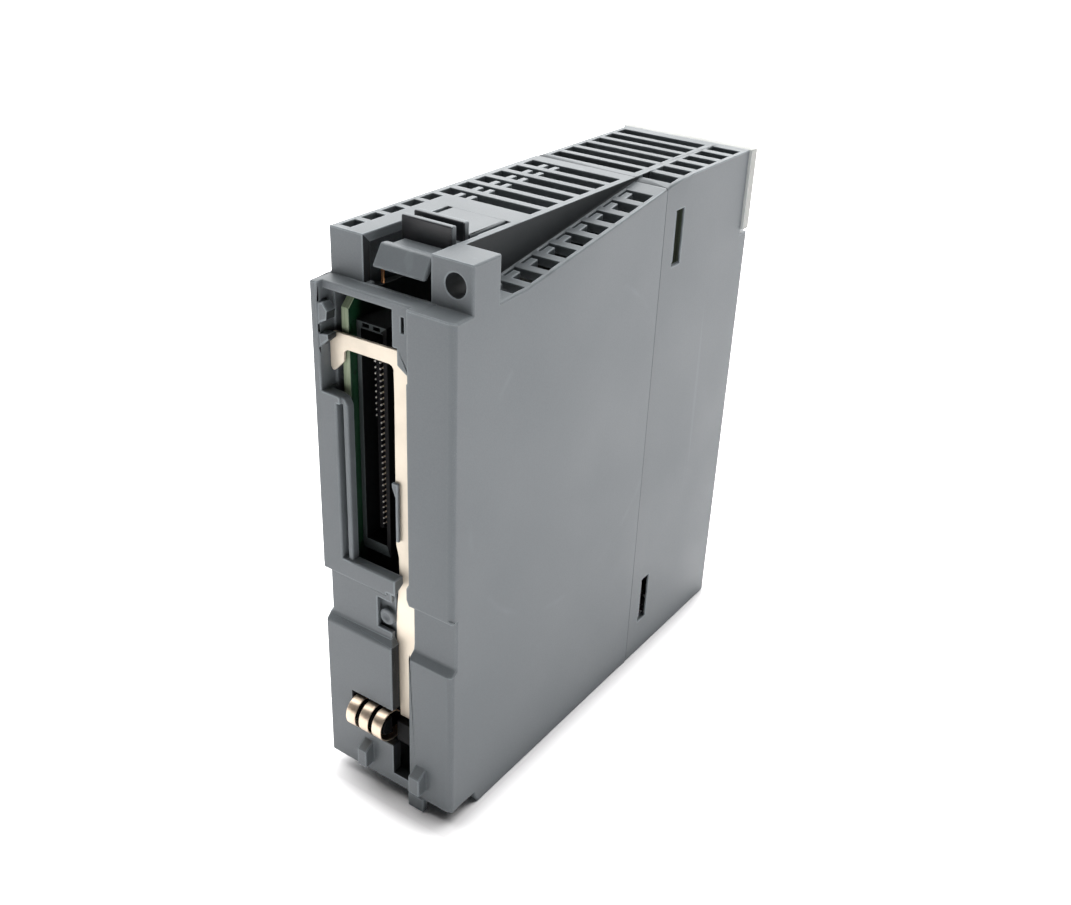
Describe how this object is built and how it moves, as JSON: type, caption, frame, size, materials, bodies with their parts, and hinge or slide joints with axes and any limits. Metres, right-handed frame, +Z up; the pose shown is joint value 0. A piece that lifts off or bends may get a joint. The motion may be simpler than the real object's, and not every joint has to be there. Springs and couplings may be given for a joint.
{
  "type": "plc module",
  "caption": "Narrow rack-mounted controller module: vented two-part casing, rear rack connector and earth contact springs, sprung top latch, indicator panel, setting dials and network jacks.",
  "frame": {"origin": "centre of the bounding box in x and y, at the underside of the casing", "axes": "+Z up, -Y the indicator front, +Y the rear face with the rack connector, +X the right side seen from the front"},
  "size_m": [0.0274, 0.0916, 0.1],
  "materials": {
    "body": "fine textured slate grey",
    "panel": "satin light grey",
    "black_plastic": "moulded black",
    "chip": "dull epoxy",
    "tinned_plate": "tinned, satin",
    "contact_gold": "pale bronze, polished",
    "copper": "bare copper",
    "board": "green solder mask",
    "steel": "plated",
    "clear_guide": "clear",
    "white_plastic": "satin white"
  },
  "bodies": {
    "module": {"board_link": "black_plastic", "board_screw_1": "steel", "board_screw_2": "steel", "bus_chip": "chip", "bus_contacts_a": "contact_gold", "bus_contacts_b": "contact_gold", "bus_shroud": "black_plastic", "capacitor_1": "steel", "capacitor_2": "steel", "crystal": "steel", "earth_plate": "tinned_plate", "front_board": "board", "front_casing": "body", "jack_contacts_1": "contact_gold", "jack_contacts_2": "contact_gold", "jack_insert_1": "black_plastic", "jack_insert_2": "black_plastic", "jack_shield_1": "steel", "jack_shield_2": "steel", "lamp_row_1": "white_plastic", "lamp_row_2": "white_plastic", "latch_strip": "copper", "led_panel": "panel", "light_guide": "clear_guide", "main_board": "board", "memory_chip_1": "chip", "memory_chip_2": "chip", "plate_clip": "body", "plate_stake": "body", "power_module": "black_plastic", "processor_chip": "chip", "pulse_transformer_1": "black_plastic", "pulse_transformer_2": "black_plastic", "rear_casing": "body", "spring_holder": "black_plastic", "switch_body_1": "black_plastic", "switch_body_2": "black_plastic"},
    "latch": {"latch_lever": "body"},
    "earth_contact_1": {"earth_spring_1": "contact_gold"},
    "earth_contact_2": {"earth_spring_2": "contact_gold"},
    "earth_contact_3": {"earth_spring_3": "contact_gold"},
    "dial_1": {"switch_rotor_1": "white_plastic"},
    "dial_2": {"switch_rotor_2": "white_plastic"}
  },
  "joints": [
    {"name": "latch_press", "type": "hinge", "parent": "module", "child": "latch", "pos_m": [0.00025, 0.0208, 0.0973], "axis": [-1, 0, 0], "range_deg": [0, 5], "stiffness_Nm_per_rad": 0.6},
    {"name": "earth_contact_1_press", "type": "slide", "parent": "module", "child": "earth_contact_1", "axis": [0, -1, 0], "range_m": [0, 0.0018], "stiffness_N_per_m": 600},
    {"name": "earth_contact_2_press", "type": "slide", "parent": "module", "child": "earth_contact_2", "axis": [0, -1, 0], "range_m": [0, 0.0018], "stiffness_N_per_m": 600},
    {"name": "earth_contact_3_press", "type": "slide", "parent": "module", "child": "earth_contact_3", "axis": [0, -1, 0], "range_m": [0, 0.0018], "stiffness_N_per_m": 600},
    {"name": "dial_1_turn", "type": "hinge", "parent": "module", "child": "dial_1", "pos_m": [0, -0.0426, 0.0735], "axis": [0, 1, 0], "range_deg": [0, 324]},
    {"name": "dial_2_turn", "type": "hinge", "parent": "module", "child": "dial_2", "pos_m": [0, -0.0426, 0.06], "axis": [0, 1, 0], "range_deg": [0, 324]}
  ]
}
